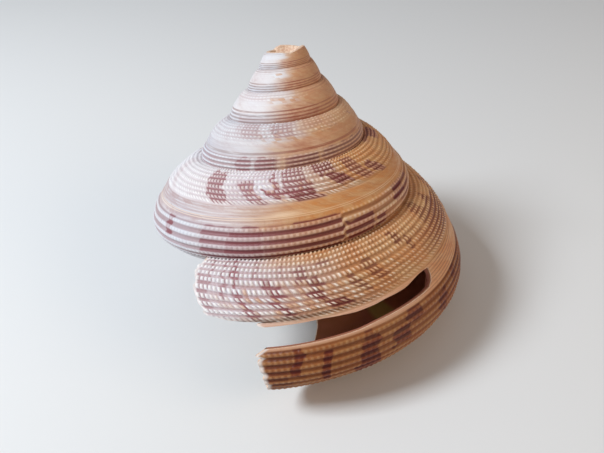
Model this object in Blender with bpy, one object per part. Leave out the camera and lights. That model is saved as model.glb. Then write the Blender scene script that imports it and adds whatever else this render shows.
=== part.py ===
"""A slit shell: a top-shaped sea shell with a long slit in its last whorl and a broken tip.

Sizes are in millimetres and become metres when the mesh is made. The shell is laid out in its own
growth frame first: Z is the axis that it coils around, the virtual tip is at the origin and the
mouth is below. "Turns" counts whorls back from the mouth towards the tip. "Across" is the place
on a whorl's outline: 0 at the seam above it, 1 at the foot of its side and 2.2 at the columella.
The shell is then turned to rest on its base, with its slit to the front (-Y).
"""
import functools
import math

import bmesh
import bpy
import numpy as np
from mathutils import Matrix

METRES = 0.001

# Foot of a whorl's side: turns back from the mouth, radius, depth below the tip
WHORL_GUIDE = (
    (0.0, 40.0, 66.7),
    (0.6, 34.8, 50.4),
    (1.2, 27.5, 39.0),
    (2.0, 18.4, 29.7),
    (3.0, 12.2, 21.5),
    (4.0, 8.1, 15.9),
    (5.0, 5.6, 11.7),
    (6.0, 4.0, 8.6),
    (7.0, 2.9, 6.4),
    (8.0, 2.1, 4.7),
)
# Outline of a side: across, then the share along its chord and the bulge off it, in chord lengths
SIDE_OUTLINE = (
    (0.0, 0.0, 0.0),
    (0.1, 0.055, 0.075),
    (0.25, 0.2, 0.13),
    (0.45, 0.424, 0.156),
    (0.65, 0.647, 0.135),
    (0.85, 0.868, 0.086),
    (1.0, 1.0, 0.0),
    (1.1, 1.041, -0.097),
    (1.2, 1.062, -0.209),
)
SIDE_FOOT = 1.0
SIDE_END = 1.2
COLUMELLA = 2.2
# Small step across, to find which way the outline runs
NUDGE = 0.02
BULGE_AT_FIRST_TURN = 1.0
BULGE_LOSS_PER_TURN = 0.12

# The last whorl drops away from the one above it as it nears the mouth
SEAM_DROP = 0.137
SEAM_DROP_TURNS = 0.45

# Base, as shares of the whorl's radius
COLUMELLA_RADIUS = 0.09
COLUMELLA_DEPTH = -0.12
BASE_PULL_OUTER = 0.24
BASE_PULL_INNER = 0.4
BASE_SAG = 0.05

WALL = 1.1
WALL_GROWTH = 0.5
SEAM_FILLET = 0.12

# Spiral cords: how many above and below the slit band, and their height
CORDS_ABOVE = 10
CORDS_BELOW = 5
CORD_HEIGHT = 0.45
CORDS_WORN_FROM = 0.9
CORDS_WORN_TO = 2.0

# Slit, left open from the mouth back: its two sides across, its end in turns
SLIT_TOP = 0.56
SLIT_FOOT = 0.685
SLIT_END = 0.26

# Edge of the mouth: across, turns back. The upper lobe is broken back along the slit
LIP = (
    (0.0, 0.03),
    (0.19, 0.03),
    (0.3, 0.035),
    (0.4, 0.046),
    (0.45, 0.052),
    (0.5, 0.075),
    (0.53, 0.102),
    (0.56, 0.108),
    (0.685, 0.1),
    (0.78, 0.103),
    (0.84, 0.099),
    (1.0, 0.106),
    (1.2, 0.1),
    (1.6, 0.06),
    (2.2, 0.03),
)
LIP_START = 0.03

# Mesh
COLUMNS_TO_SLIT_END = 7
COLUMNS_PER_TURN = 31
TIP_COLUMN = 5 * COLUMNS_PER_TURN + 29
HOLLOW_TURNS = 4
FINE_TURNS = 2
SEAM_MARGIN = 0.03
BASE_ROWS = (1.2, 1.35, 1.6, 1.9, COLUMELLA)
INNER_ROWS = (SEAM_FILLET, 0.3, 0.45, SLIT_TOP, SLIT_FOOT, 0.85, 1.0, 1.1, 1.2, 1.4, 1.8, COLUMELLA)
COARSE_ROWS = (0.0, 0.12, 0.3, SLIT_TOP, SLIT_FOOT, 0.85)
AXIS_STEPS = 8
SHARP_DEGREES = 40.0

# Broken tip: how far across the side is gone, at turns before the end of the break
TIP_BREAK = (
    (0.0, 1.0),
    (0.11, 0.95),
    (0.22, 0.87),
    (0.245, 0.65),
    (0.28, 0.5),
    (0.36, 0.47),
    (0.455, 0.46),
    (0.52, 0.3),
    (0.59, 0.1),
    (0.67, 0.0),
    (0.735, 0.1),
    (0.8, 0.22),
    (0.845, 0.17),
    (0.885, 0.08),
    (0.96, 0.0),
)
TIP_WALL = 0.2
TIP_PIT = 1.2

QUARTER_TURN = 0.25

# Resting pose: the turn that faces the front, the lean and where it leans, the place of the virtual tip
FRONT_TURNS = 0.1323
LEAN_DEGREES = 13.44
LEAN_TURNS = 0.6289
TIP_PLACE = (-2.48, 15.12, 61.30)

SHELL_COLOUR = (0.66, 0.42, 0.29, 1.0)
SHELL_ROUGHNESS = 0.45


def natural_spline(knots, values):
    """Return a smooth curve through the values that runs straight at both ends."""
    knots = np.asarray(knots, dtype=float)
    values = np.asarray(values, dtype=float)
    gaps = np.diff(knots)
    slopes = (np.diff(values, axis=0).T / gaps).T
    count = len(knots)
    system = np.eye(count)
    change = np.zeros_like(values)
    for row in range(1, count - 1):
        system[row, row - 1] = gaps[row - 1]
        system[row, row] = 2.0 * (gaps[row - 1] + gaps[row])
        system[row, row + 1] = gaps[row]
        change[row] = 6.0 * (slopes[row] - slopes[row - 1])
    bend = np.linalg.solve(system, change)

    def curve(place):
        span = int(np.clip(np.searchsorted(knots, place, side="right") - 1, 0, count - 2))
        gap = gaps[span]
        before = (knots[span + 1] - place) / gap
        after = (place - knots[span]) / gap
        pull = (before ** 3 - before) * bend[span] + (after ** 3 - after) * bend[span + 1]
        return before * values[span] + after * values[span + 1] + pull * gap * gap / 6.0

    return curve


GUIDE = natural_spline([row[0] for row in WHORL_GUIDE], np.log([row[1:] for row in WHORL_GUIDE]))
OUTLINE = natural_spline([row[0] for row in SIDE_OUTLINE], [row[1:] for row in SIDE_OUTLINE])


@functools.cache
def foot(turns):
    """Radius and height of the foot of a whorl's side."""
    radius, depth = np.exp(GUIDE(turns))
    return np.array((radius, -depth))


def seam_across(turns):
    """How far across a whorl the next one is joined to it."""
    since_mouth = turns - 1.0
    return SIDE_FOOT + SEAM_DROP * math.exp(-(since_mouth / SEAM_DROP_TURNS) ** 2)


def on_chord(top, bottom, across, turns):
    """Point of the outline of a side that runs from top to bottom."""
    along, out = OUTLINE(across)
    if out > 0.0:
        out *= BULGE_AT_FIRST_TURN - BULGE_LOSS_PER_TURN * (turns - 1.0)
    chord = bottom - top
    return top + chord * along + np.array((-chord[1], chord[0])) * out


@functools.cache
def seam(turns):
    """Radius and height of the seam above a whorl, which lies on the whorl before it."""
    before = turns + 1.0
    return on_chord(foot(before + 1.0), foot(before), seam_across(before), before)


def base_point(turns, share):
    """Point of the base, from the end of the side (share 0) to the columella (share 1)."""
    top = seam(turns)
    bottom = foot(turns)
    start = on_chord(top, bottom, SIDE_END, turns)
    lead = start - on_chord(top, bottom, SIDE_END - NUDGE, turns)
    radius = bottom[0]
    end = np.array((COLUMELLA_RADIUS * radius, bottom[1] - COLUMELLA_DEPTH * radius))
    first = start + lead / np.linalg.norm(lead) * BASE_PULL_OUTER * radius
    second = end + np.array((BASE_PULL_INNER, -BASE_SAG)) * radius
    rest = 1.0 - share
    return (
        rest ** 3 * start
        + 3.0 * rest ** 2 * share * first
        + 3.0 * rest * share ** 2 * second
        + share ** 3 * end
    )


def outline_point(turns, across):
    """Plain outline of a whorl, without its cords."""
    if across > SIDE_END:
        return base_point(turns, (across - SIDE_END) / (COLUMELLA - SIDE_END))
    return on_chord(seam(turns), foot(turns), across, turns)


def outward(turns, across):
    """Unit normal of the outline, pointing out of the shell."""
    ahead = outline_point(turns, min(across + NUDGE, COLUMELLA))
    behind = outline_point(turns, max(across - NUDGE, 0.0))
    tangent = (ahead - behind) / np.linalg.norm(ahead - behind)
    return np.array((-tangent[1], tangent[0]))


def cord_rows():
    """Places across a side, two to a cord, with the height of the cord at each."""
    rows = {}
    for start, end, cords in ((0.0, SLIT_TOP, CORDS_ABOVE), (SLIT_FOOT, SIDE_END, CORDS_BELOW)):
        for step, across in enumerate(np.linspace(start, end, 2 * cords + 1)):
            rows[float(across)] = CORD_HEIGHT * (step % 2)
    return rows


def lip_turns(across):
    """Turns back from the mouth at which the shell's edge lies."""
    return float(np.interp(across, [row[0] for row in LIP], [row[1] for row in LIP]))


def column_turns(column):
    """Turns back from the mouth of a column of the mesh, before the lip's shape is added."""
    whole, part = divmod(column, COLUMNS_PER_TURN)
    if part <= COLUMNS_TO_SLIT_END:
        return whole + LIP_START + (SLIT_END - LIP_START) * part / COLUMNS_TO_SLIT_END
    behind = (part - COLUMNS_TO_SLIT_END) / (COLUMNS_PER_TURN - COLUMNS_TO_SLIT_END)
    return whole + SLIT_END + (1.0 + LIP_START - SLIT_END) * behind


def shaped_turns(column, across):
    """Turns back from the mouth, bent near the lip to follow its edge."""
    turns = column_turns(column)
    if column >= COLUMNS_TO_SLIT_END:
        return turns
    fade = (SLIT_END - turns) / (SLIT_END - LIP_START)
    return turns + (lip_turns(across) - LIP_START) * fade


def around(turns, radius_height):
    """Turn a radius and height into a point in the growth frame."""
    angle = 2.0 * math.pi * turns
    radius, height = radius_height
    return np.array((radius * math.cos(angle), radius * math.sin(angle), height))


def broken_across(column):
    """How far across a whorl's side the tip is broken away at a column."""
    before_end = column_turns(TIP_COLUMN) - column_turns(column)
    return float(np.interp(before_end, [row[0] for row in TIP_BREAK], [row[1] for row in TIP_BREAK]))


class ShellMesh:
    """Points and triangles of the shell, gathered column by column."""

    def __init__(self):
        self.points = []
        self.faces = []
        self.known = {}

    def point(self, key, position):
        """Vertex that is known by the key, made at the position if it is new."""
        if key not in self.known:
            self.known[key] = len(self.points)
            self.points.append(position)
        return self.known[key]

    def outer(self, column, across, height=0.0):
        """Vertex on the outside of a whorl."""
        turns = shaped_turns(column, across)
        left = float(np.interp(turns, (CORDS_WORN_FROM, CORDS_WORN_TO), (1.0, 0.0)))
        outline = outline_point(turns, across) + outward(turns, across) * height * left
        return self.point(("outer", column, across), around(turns, outline))

    def inner(self, column, across):
        """Vertex on the inside of a whorl's own wall."""
        turns = shaped_turns(column, across)
        wall = WALL * (foot(turns)[0] / foot(0.0)[0]) ** WALL_GROWTH
        outline = outline_point(turns, across) - outward(turns, across) * wall
        return self.point(("inner", column, across), around(turns, outline))

    def stitch(self, left, right):
        """Fill the strip between two rows of (order, vertex) pairs with triangles."""
        i = 0
        j = 0
        while i < len(left) - 1 or j < len(right) - 1:
            right_done = j == len(right) - 1
            left_next = i < len(left) - 1 and (right_done or left[i + 1][0] <= right[j + 1][0])
            if left_next:
                self.faces.append((left[i][1], left[i + 1][1], right[j][1]))
                i += 1
            else:
                self.faces.append((left[i][1], right[j + 1][1], right[j][1]))
                j += 1


def outer_column(shell, column):
    """Row of (across, vertex) pairs down the outside of the shell at one column."""
    fine = column <= FINE_TURNS * COLUMNS_PER_TURN
    rows = cord_rows() if fine else dict.fromkeys(COARSE_ROWS, 0.0)
    if column < COLUMNS_PER_TURN:
        row = [(across, shell.outer(column, across, height)) for across, height in rows.items()]
    elif column > TIP_COLUMN - COLUMNS_PER_TURN:
        row = broken_column(shell, column)
    else:
        end = seam_across(column_turns(column))
        row = [
            (across, shell.outer(column, across, height))
            for across, height in rows.items()
            if across < end - SEAM_MARGIN
        ]
        row.append((end, shell.outer(column - COLUMNS_PER_TURN, 0.0)))
    if column <= COLUMNS_PER_TURN:
        seen = row[-1][0]
        row += [(across, shell.outer(column, across)) for across in BASE_ROWS if across > seen]
    return row


def broken_column(shell, column):
    """Row of (across, vertex) pairs down the outside, from the broken tip to the seam below."""
    start = broken_across(column)
    end = seam_across(column_turns(column))
    row = [(start, shell.outer(column, start))] if column < TIP_COLUMN else []
    row += [
        (across, shell.outer(column, across))
        for across in COARSE_ROWS
        if start + SEAM_MARGIN < across < end - SEAM_MARGIN
    ]
    row.append((end, shell.outer(column - COLUMNS_PER_TURN, 0.0)))
    return row


def split_at_slit(row):
    """The parts of a row above and below the slit."""
    above = [pair for pair in row if pair[0] <= SLIT_TOP]
    below = [pair for pair in row if pair[0] >= SLIT_FOOT]
    return above, below


def add_outside(shell):
    """Outside of every whorl, from the lip to the broken tip."""
    near = outer_column(shell, 0)
    for column in range(TIP_COLUMN):
        far = outer_column(shell, column + 1)
        if column < COLUMNS_TO_SLIT_END:
            for near_part, far_part in zip(split_at_slit(near), split_at_slit(far)):
                shell.stitch(near_part, far_part)
        else:
            shell.stitch(near, far)
        near = far
        if column + 1 == COLUMNS_PER_TURN:
            near = [pair for pair in far if pair[0] <= seam_across(column_turns(column + 1))]


def inner_row(shell, column):
    """Row of (across, vertex) pairs down the inside of a whorl's own wall."""
    return [(across, shell.inner(column, across)) for across in INNER_ROWS]


def columella_row(shell, column):
    """Row of vertices up the columella, from the base's inside to the whorl above."""
    low = shell.inner(column, COLUMELLA)
    high = shell.outer(column + COLUMNS_PER_TURN, COLUMELLA)
    middle = (shell.points[low] + shell.points[high]) / 2.0
    return [low, shell.point(("columella", column), middle), high]


def hollow_ring(shell, column):
    """Closed row of (order, vertex) pairs around the hollow at one column."""
    own = [vertex for across, vertex in inner_row(shell, column)]
    above = [shell.outer(column + COLUMNS_PER_TURN, across) for across in reversed(BASE_ROWS)]
    ring = own[:-1] + columella_row(shell, column) + above[1:] + own[:1]
    return list(enumerate(ring))


def add_hollow(shell):
    """Inside of the whorls, open at the mouth and along the slit and closed towards the tip."""
    columns = list(range(COLUMNS_PER_TURN)) + list(
        range(COLUMNS_PER_TURN, HOLLOW_TURNS * COLUMNS_PER_TURN, 2)
    )
    slit_top = INNER_ROWS.index(SLIT_TOP)
    slit_foot = INNER_ROWS.index(SLIT_FOOT)
    for column, after in zip(columns, columns[1:]):
        near = hollow_ring(shell, column)
        far = hollow_ring(shell, after)
        if column < COLUMNS_TO_SLIT_END:
            shell.stitch(near[: slit_top + 1], far[: slit_top + 1])
            shell.stitch(near[slit_foot:], far[slit_foot:])
        else:
            shell.stitch(near, far)
    end = hollow_ring(shell, columns[-1])
    middle = np.mean([shell.points[vertex] for order, vertex in end[:-1]], axis=0)
    centre = shell.point("hollow end", middle)
    shell.stitch([(0, centre)], end)


def add_mouth_edge(shell):
    """Thickness of the wall around the mouth, and the end of the columella."""
    outside = split_at_slit(outer_column(shell, 0))
    inside = split_at_slit(inner_row(shell, 0))
    below_seam = (0.0, shell.outer(COLUMNS_PER_TURN, BASE_ROWS[0]))
    shell.stitch(outside[0], [below_seam] + inside[0])
    shell.stitch(outside[1], inside[1])
    rim = [shell.outer(0, COLUMELLA)] + columella_row(shell, 0)
    shell.stitch([(shell.points[vertex][2], vertex) for vertex in rim], axis_row(shell, by_height=True))


def add_slit_edge(shell):
    """Thickness of the wall along both sides of the slit and across its end."""
    columns = range(COLUMNS_TO_SLIT_END + 1)
    for across in (SLIT_TOP, SLIT_FOOT):
        outside = [(column, shell.outer(column, across)) for column in columns]
        inside = [(column, shell.inner(column, across)) for column in columns]
        shell.stitch(outside, inside)
    last = COLUMNS_TO_SLIT_END
    outside = [(across, shell.outer(last, across)) for across in (SLIT_TOP, SLIT_FOOT)]
    inside = [(across, shell.inner(last, across)) for across in (SLIT_TOP, SLIT_FOOT)]
    shell.stitch(outside, inside)


def axis_row(shell, by_height=False):
    """Row of vertices up the axis, at the height of the columella's foot around the last whorl."""
    start = lip_turns(COLUMELLA)
    row = []
    for step in range(AXIS_STEPS + 1):
        share = step / AXIS_STEPS
        height = base_point(start + (1.0 + LIP_START - start) * share, 1.0)[1]
        vertex = shell.point(("axis", step), np.array((0.0, 0.0, height)))
        row.append((height if by_height else share, vertex))
    return row


def add_base_centre(shell):
    """Foot of the columella, which closes the middle of the base."""
    foot_row = [
        (column / COLUMNS_PER_TURN, shell.outer(column, COLUMELLA))
        for column in range(COLUMNS_PER_TURN + 1)
    ]
    shell.stitch(foot_row, axis_row(shell))


def add_broken_tip(shell):
    """Rim of the broken tip and the shallow pit inside it."""
    first = TIP_COLUMN - COLUMNS_PER_TURN
    rim = [shell.outer(column, broken_across(column)) for column in range(first, TIP_COLUMN)]
    rim.append(rim[0])
    inside = []
    for order, vertex in enumerate(rim[:-1]):
        point = shell.points[vertex] * np.array((1.0 - TIP_WALL, 1.0 - TIP_WALL, 1.0))
        inside.append(shell.point(("tip", order), point))
    inside.append(inside[0])
    shell.stitch(list(enumerate(rim)), list(enumerate(inside)))
    lowest = min(shell.points[vertex][2] for vertex in inside)
    floor = shell.point("pit", np.array((0.0, 0.0, lowest - TIP_PIT)))
    shell.stitch([(0, floor)], list(enumerate(inside)))


def resting_place():
    """Matrix from the growth frame in millimetres to the resting shell in metres."""
    spin = Matrix.Rotation(-2.0 * math.pi * (FRONT_TURNS + QUARTER_TURN), 4, "Z")
    lean_way = Matrix.Rotation(2.0 * math.pi * LEAN_TURNS, 4, "Z")
    lean = lean_way @ Matrix.Rotation(math.radians(LEAN_DEGREES), 4, "Y") @ lean_way.inverted()
    return Matrix.Scale(METRES, 4) @ Matrix.Translation(TIP_PLACE) @ spin @ lean


def shell_material():
    """Cream shell with red-brown markings, as one mean colour."""
    material = bpy.data.materials.new("shell")
    material.use_nodes = True
    surface = material.node_tree.nodes["Principled BSDF"]
    surface.inputs["Base Color"].default_value = SHELL_COLOUR
    surface.inputs["Roughness"].default_value = SHELL_ROUGHNESS
    surface.inputs["Metallic"].default_value = 0.0
    return material


def build_shell():
    """Build the shell as one closed, hollow, open-mouthed mesh."""
    shell = ShellMesh()
    add_outside(shell)
    add_hollow(shell)
    add_mouth_edge(shell)
    add_slit_edge(shell)
    add_base_centre(shell)
    add_broken_tip(shell)
    mesh = bpy.data.meshes.new("shell")
    mesh.from_pydata([tuple(point) for point in shell.points], [], shell.faces)
    mesh.transform(resting_place())
    work = bmesh.new()
    work.from_mesh(mesh)
    bmesh.ops.recalc_face_normals(work, faces=work.faces)
    work.to_mesh(mesh)
    work.free()
    mesh.shade_smooth()
    mesh.set_sharp_from_angle(angle=math.radians(SHARP_DEGREES))
    mesh.materials.append(shell_material())
    body = bpy.data.objects.new("shell", mesh)
    bpy.context.collection.objects.link(body)
    return body


for old in list(bpy.data.objects):
    bpy.data.objects.remove(old, do_unlink=True)
build_shell()
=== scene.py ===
"""Looks of the slit shell: fine beaded cords, worn spire, markings, nacre, light and camera.

Lengths are in millimetres in the growth frame, as in the solid: Z is the axis that the shell coils
around and the virtual tip is at the origin. "Turns" counts whorls back from the mouth. "Across" is
the place on a whorl's outline: 0 at the seam above it, 1 at the foot of its side, 2.2 at the
columella.
"""

import math

import bpy
import numpy as np
from mathutils import Matrix, Vector


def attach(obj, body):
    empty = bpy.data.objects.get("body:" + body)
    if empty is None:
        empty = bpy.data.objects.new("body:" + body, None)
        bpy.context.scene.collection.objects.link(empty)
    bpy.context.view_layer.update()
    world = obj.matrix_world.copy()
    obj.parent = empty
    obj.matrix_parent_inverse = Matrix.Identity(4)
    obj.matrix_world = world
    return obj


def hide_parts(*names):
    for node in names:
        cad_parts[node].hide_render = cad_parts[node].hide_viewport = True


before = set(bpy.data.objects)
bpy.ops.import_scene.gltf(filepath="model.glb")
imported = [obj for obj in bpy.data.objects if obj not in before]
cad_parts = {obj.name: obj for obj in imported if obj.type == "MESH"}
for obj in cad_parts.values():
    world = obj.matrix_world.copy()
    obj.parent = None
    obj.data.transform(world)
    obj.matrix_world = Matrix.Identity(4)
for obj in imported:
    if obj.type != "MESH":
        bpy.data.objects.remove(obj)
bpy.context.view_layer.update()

METRES = 0.001
TURN = 2.0 * math.pi

# Shape shared with the solid
# Foot of a whorl's side: turns, radius, depth below the tip
WHORL_GUIDE = (
    (0.0, 40.0, 66.7),
    (0.6, 34.8, 50.4),
    (1.2, 27.5, 39.0),
    (2.0, 18.4, 29.7),
    (3.0, 12.2, 21.5),
    (4.0, 8.1, 15.9),
    (5.0, 5.6, 11.7),
    (6.0, 4.0, 8.6),
    (7.0, 2.9, 6.4),
    (8.0, 2.1, 4.7),
)
# Outline of a side: across, then the share along its chord and the bulge off it, in chord lengths
SIDE_OUTLINE = (
    (0.0, 0.0, 0.0),
    (0.1, 0.055, 0.075),
    (0.25, 0.2, 0.13),
    (0.45, 0.424, 0.156),
    (0.65, 0.647, 0.135),
    (0.85, 0.868, 0.086),
    (1.0, 1.0, 0.0),
    (1.1, 1.041, -0.097),
    (1.2, 1.062, -0.209),
)
SIDE_FOOT = 1.0
SIDE_END = 1.2
COLUMELLA = 2.2
NUDGE = 0.02
BULGE_LOSS_PER_TURN = 0.12
SEAM_DROP = 0.137
SEAM_DROP_TURNS = 0.45
COLUMELLA_RADIUS = 0.09
COLUMELLA_DEPTH = -0.12
BASE_PULL_OUTER = 0.24
BASE_PULL_INNER = 0.4
BASE_SAG = 0.05
WALL = 1.1
WALL_GROWTH = 0.5
SEAM_FILLET = 0.12
SLIT_TOP = 0.56
SLIT_FOOT = 0.685
SLIT_END = 0.26
LIP_START = 0.03
TIP_TURNS = 5.9658
TIP_WALL = 0.2
TIP_ROUND = 0.1
TIP_PIT = 1.2
HOLLOW_TURNS = 4.0
# Rest: turns that face the front, the lean and the way that it leans, and the virtual tip
FRONT_TURNS = 0.1323
LEAN_DEGREES = 13.44
LEAN_TURNS = 0.6289
TIP_PLACE = (-2.48, 15.12, 61.30)
# How far across the side the tip is broken away, at turns before the end of the break
TIP_BREAK = (
    (0.0, 1.0),
    (0.11, 0.95),
    (0.22, 0.87),
    (0.245, 0.65),
    (0.28, 0.5),
    (0.36, 0.47),
    (0.455, 0.46),
    (0.52, 0.3),
    (0.59, 0.1),
    (0.67, 0.0),
    (0.735, 0.1),
    (0.8, 0.22),
    (0.845, 0.17),
    (0.885, 0.08),
    (0.96, 0.0),
)

# Edge of the mouth with its chips and the crack beside the slit: across, turns
LIP = (
    (0.0, 0.03),
    (0.07, 0.032),
    (0.13, 0.029),
    (0.19, 0.03),
    (0.24, 0.034),
    (0.3, 0.035),
    (0.34, 0.0395),
    (0.4, 0.045),
    (0.435, 0.052),
    (0.452, 0.0505),
    (0.47, 0.0555),
    (0.483, 0.068),
    (0.492, 0.070),
    (0.5, 0.081),
    (0.507, 0.094),
    (0.5095, 0.101),
    (0.511, 0.112),
    (0.513, 0.1145),
    (0.515, 0.1145),
    (0.517, 0.112),
    (0.519, 0.101),
    (0.522, 0.099),
    (0.529, 0.0988),
    (0.537, 0.1),
    (0.543, 0.102),
    (0.56, 0.105),
    (0.685, 0.108),
    (0.7, 0.1055),
    (0.72, 0.1025),
    (0.742, 0.0985),
    (0.764, 0.1035),
    (0.782, 0.1),
    (0.81, 0.1005),
    (0.86, 0.102),
    (0.9, 0.1045),
    (0.93, 0.103),
    (1.0, 0.106),
    (1.05, 0.104),
    (1.1, 0.107),
    (1.2, 0.112),
    (1.32, 0.12),
    (1.4, 0.129),
    (1.6, 0.147),
    (1.75, 0.162),
    (1.85, 0.165),
    (1.95, 0.155),
    (2.05, 0.13),
    (2.2, 0.08),
)
# Sides of the slit, worn a little wavy: turns, across
SLIT_TOP_EDGE = (
    (0.1, 0.547),
    (0.14, 0.568),
    (0.165, 0.567),
    (0.18, 0.56),
    (0.2, 0.563),
    (0.212, 0.562),
    (0.222, 0.554),
    (0.231, 0.542),
    (0.24, 0.535),
    (0.25, 0.535),
    (0.26, 0.542),
    (0.3, 0.545),
)
SLIT_FOOT_EDGE = (
    (0.1, 0.7),
    (0.14, 0.7),
    (0.163, 0.69),
    (0.19, 0.688),
    (0.246, 0.687),
    (0.256, 0.682),
    (0.3, 0.685),
)
# End of the slit: across, turns beyond its place
SLIT_END_EDGE = (
    (0.5, 0.0),
    (0.545, 0.002),
    (0.608, 0.003),
    (0.651, 0.001),
    (0.679, -0.004),
    (0.7, -0.003),
    (0.73, 0.0),
)
SLIT_END_REACH = 0.05
SLIT_EDGE_FADE = (SLIT_END - 0.01, SLIT_END + 0.05)

# The smooth slit band, and its top beside the slit: turns, across
BAND_TOP = 0.52
BAND_MIDDLE = 0.62
BAND_FOOT = 0.72
BAND_TOP_EDGE = (
    (0.08, 0.52),
    (0.1, 0.524),
    (0.13, 0.542),
    (0.16, 0.55),
    (0.2, 0.548),
    (0.23, 0.53),
    (0.3, 0.52),
)
BAND_THREADS = (0.647, 0.668)
FINE_THREADS_PER_ACROSS = 60.0
FURROWS_PER_ACROSS = 36.0
FURROW_TURNS = ((0.22, 0.3), (0.7, 0.95))

# Cords above and below the band: turns, how many
CORDS_ABOVE = (
    (0.0, 10.0),
    (0.07, 10.0),
    (0.15, 11.4),
    (0.26, 10.8),
    (0.6, 10.0),
    (1.15, 8.5),
    (2.0, 7.5),
    (6.0, 5.0),
)
CORDS_BELOW = ((0.0, 7.0), (0.15, 6.5), (0.5, 5.2), (1.0, 4.0), (1.8, 4.0), (2.1, 5.0), (6.0, 5.0))
CORDS_END = 1.08
BASE_CORDS_PER_ACROSS = 24.0
# Share of the way up from the band to the seam, then the share of the cords
CORD_SPACING = (
    (-0.2, -0.2),
    (0.0, 0.0),
    (0.09, 0.06),
    (0.16, 0.15),
    (0.34, 0.35),
    (0.57, 0.55),
    (0.75, 0.75),
    (1.0, 1.0),
)
CORD_SWAY = 0.3
BEAD_PITCH = 0.92
BEAD_RADIUS_SHARE = 0.82
ROW_STAGGER = 0.5
# Beads lie jumbled beside the slit, between these places across and along
JUMBLE_ACROSS = ((0.22, 0.32), (0.46, 0.52))
JUMBLE_ALONG = ((0.03, 0.09), (0.2, 0.3))
JUMBLED_CORDS = 0.6
JUMBLED_BEADS = 0.9

# Growth lines fall back from the seam; at a check in growth the lower cords jump
GROWTH_PULL = 0.25
GROWTH_FROM = 0.15
GROWTH_LAG_BELOW = 0.07
GROWTH_CHECK = 1.187
CHECK_LAST = 1.6
CHECK_WIDTH = 0.001
CHECK_JUMP = 0.4

# Heights of the relief in millimetres
UPPER_CORD_HEIGHT = 0.10
UPPER_BEAD_HEIGHT = 0.40
LOWER_CORD_HEIGHT = 0.34
LOWER_BEAD_HEIGHT = 0.12
BASE_DROP = 0.26
BAND_HEIGHT = 0.10
FINE_THREAD_HEIGHT = 0.035
THREAD_HEIGHT = 0.07
THREAD_WIDTH = 0.006
FURROW_HEIGHT = 0.12
WANDER_HEIGHT = 0.1
HIGHEST_RELIEF = 0.45
RELIEF_GROWTH = 1.35

# Wear: turns over which it sets in, and how much later above and below the band
WORN_TURNS = (1.6, 2.2)
RAMP_WEARS_LATER = 1.2
FOOT_WEARS_LATER = 0.6
# Sides of the shell, in turns: the warm brown one, whose brown is partly painted shade, and the pale one
# with painted cool light
WARM_SHADED_TURNS = 0.36
COOL_LIT_TURNS = 0.86
# Pale glow on the band and a painted green glint of light on the nacre: middle and reach, along and across
GLOW_TURNS = (1.12, 0.035)
GLOW_ACROSS = (0.63, 0.05)
GREEN_GLINT_TURNS = (0.258, 0.024)
GREEN_GLINT_ACROSS = (1.59, 0.3)
SPIRE_LINES_PER_ACROSS = 10.5

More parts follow.
